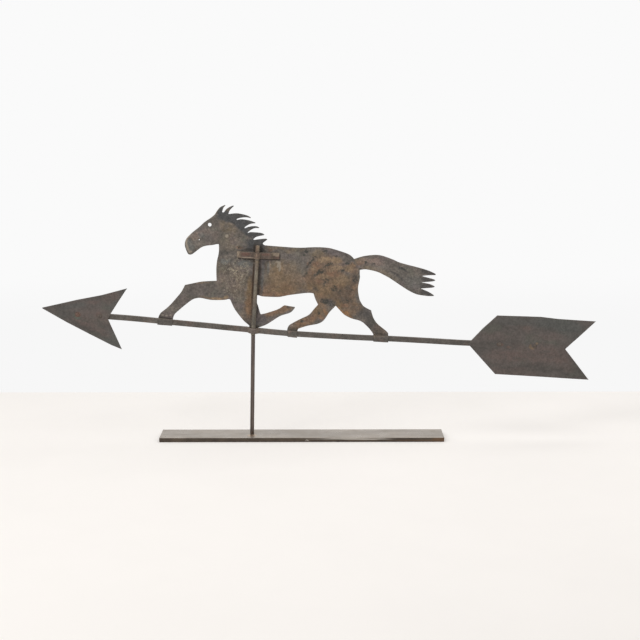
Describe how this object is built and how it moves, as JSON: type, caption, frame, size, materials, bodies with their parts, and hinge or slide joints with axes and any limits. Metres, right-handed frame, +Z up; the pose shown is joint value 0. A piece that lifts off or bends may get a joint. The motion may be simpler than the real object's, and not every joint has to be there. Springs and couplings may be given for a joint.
{
  "type": "horse weathervane",
  "caption": "Sheet-iron running horse on an arrow, a weathervane that turns freely on a slim rod standing on a long flat bar.",
  "frame": {"origin": "middle of the base bar's underside", "axes": "+X from the arrow's head to its tail, +Y away from the side with the strap and the plates, +Z up"},
  "size_m": [1.2273, 0.0636, 0.5275],
  "materials": {
    "base_steel": "satin flat bar with a thin brown bloom",
    "rod_steel": "dull round bar, browned",
    "screw_steel": "plain machine screw",
    "bar_iron": "old wrought iron, dark grey-brown",
    "plate_iron": "old sheet iron, dark grey-brown, dry and mottled",
    "horse_iron": "old sheet iron with warm rust and dark pitting",
    "strap_iron": "old strap iron, red-brown rust",
    "rivet_iron": "old iron rivets, worn and rusty"
  },
  "bodies": {
    "stand": {"base_bar": "base_steel", "stand_rod": "rod_steel", "foot_screw": "screw_steel"},
    "vane": {"pivot_tube": "bar_iron", "arrow_bar": "bar_iron", "arrow_head": "plate_iron", "head_rivet_front": "rivet_iron", "head_rivet_rear": "rivet_iron", "arrow_tail": "plate_iron", "tail_rivet_front": "rivet_iron", "tail_rivet_rear": "rivet_iron", "horse_sheet": "horse_iron", "keeper_strap": "strap_iron", "strap_rivet_left": "rivet_iron", "strap_rivet_right": "rivet_iron", "neck_rivet": "rivet_iron"}
  },
  "joints": [
    {"name": "vane_turn", "type": "hinge", "parent": "stand", "child": "vane", "pos_m": [-0.10716, 0, 0.25023], "axis": [0.0239, 0, 0.9997], "continuous": true}
  ]
}
